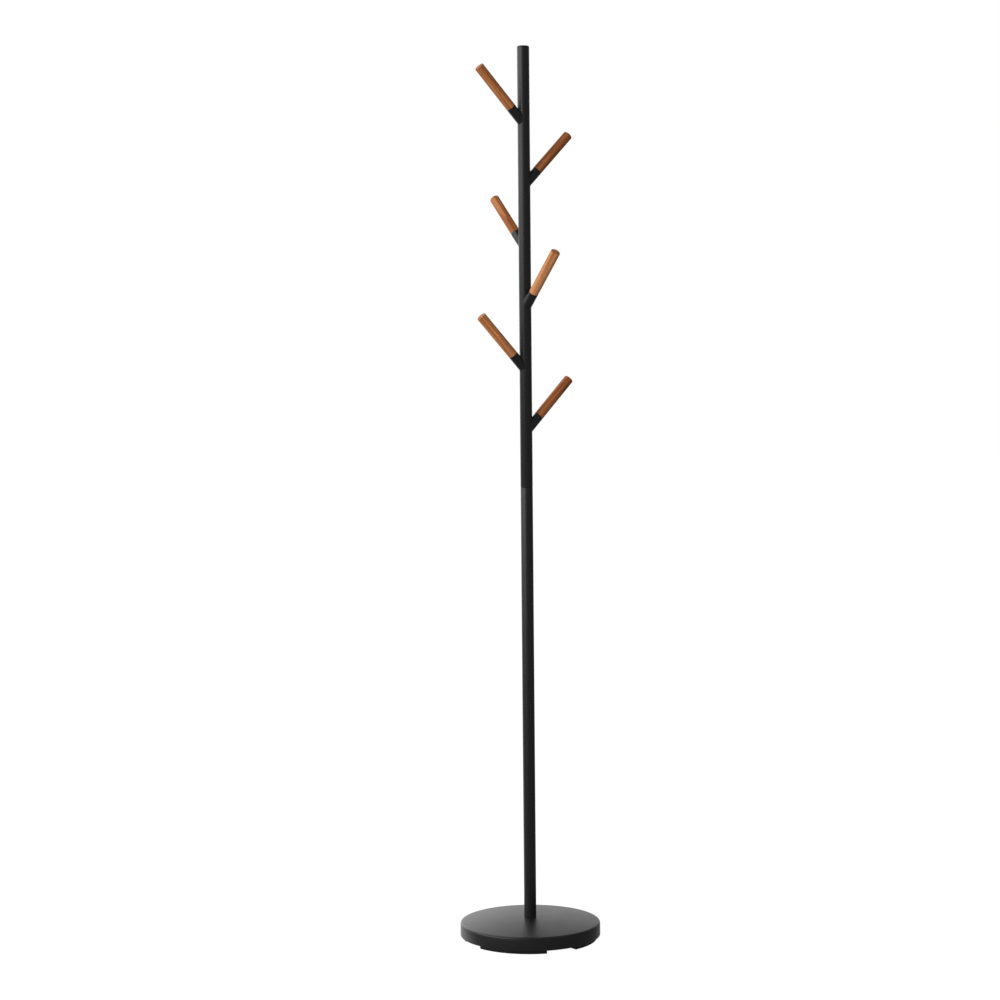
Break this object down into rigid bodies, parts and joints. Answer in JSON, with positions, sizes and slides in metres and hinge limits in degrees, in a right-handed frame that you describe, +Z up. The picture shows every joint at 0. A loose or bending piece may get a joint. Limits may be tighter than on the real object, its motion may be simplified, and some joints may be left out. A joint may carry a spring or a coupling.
{
  "type": "standing coat rack",
  "caption": "Free-standing coat rack: a slim steel pole on a round, slightly domed weighted base, with slanted wooden pegs in welded steel sockets around its upper half.",
  "frame": {"origin": "centre of the round base, on the floor that the rubber feet stand on", "axes": "+Z up the pole, +X to the right and -Y towards someone who stands in front of the rack"},
  "size_m": [0.276, 0.276, 1.75],
  "materials": {
    "black_coat": "matte",
    "peg_wood": "satin",
    "foot_rubber": "matte",
    "cement": "matte",
    "zinc_steel": "satin"
  },
  "bodies": {
    "root": {"base_cover": "black_coat", "base_weight": "cement", "base_underplate": "black_coat", "foot_pad_1": "foot_rubber", "foot_pad_2": "foot_rubber", "foot_pad_3": "foot_rubber", "foot_pad_4": "foot_rubber", "base_bolt": "zinc_steel", "base_spring_washer": "zinc_steel", "base_plate_washer": "zinc_steel", "lower_pole": "black_coat", "upper_pole": "black_coat", "top_cap": "black_coat", "pole_foot_insert": "zinc_steel", "joint_insert_lower": "zinc_steel", "joint_insert_upper": "zinc_steel", "joint_stud": "zinc_steel", "socket_1": "black_coat", "peg_nut_1": "zinc_steel", "peg_stud_1": "zinc_steel", "peg_1": "peg_wood", "socket_2": "black_coat", "peg_nut_2": "zinc_steel", "peg_stud_2": "zinc_steel", "peg_2": "peg_wood", "socket_3": "black_coat", "peg_nut_3": "zinc_steel", "peg_stud_3": "zinc_steel", "peg_3": "peg_wood", "socket_4": "black_coat", "peg_nut_4": "zinc_steel", "peg_stud_4": "zinc_steel", "peg_4": "peg_wood", "socket_5": "black_coat", "peg_nut_5": "zinc_steel", "peg_stud_5": "zinc_steel", "peg_5": "peg_wood", "socket_6": "black_coat", "peg_nut_6": "zinc_steel", "peg_stud_6": "zinc_steel", "peg_6": "peg_wood"}
  },
  "joints": []
}
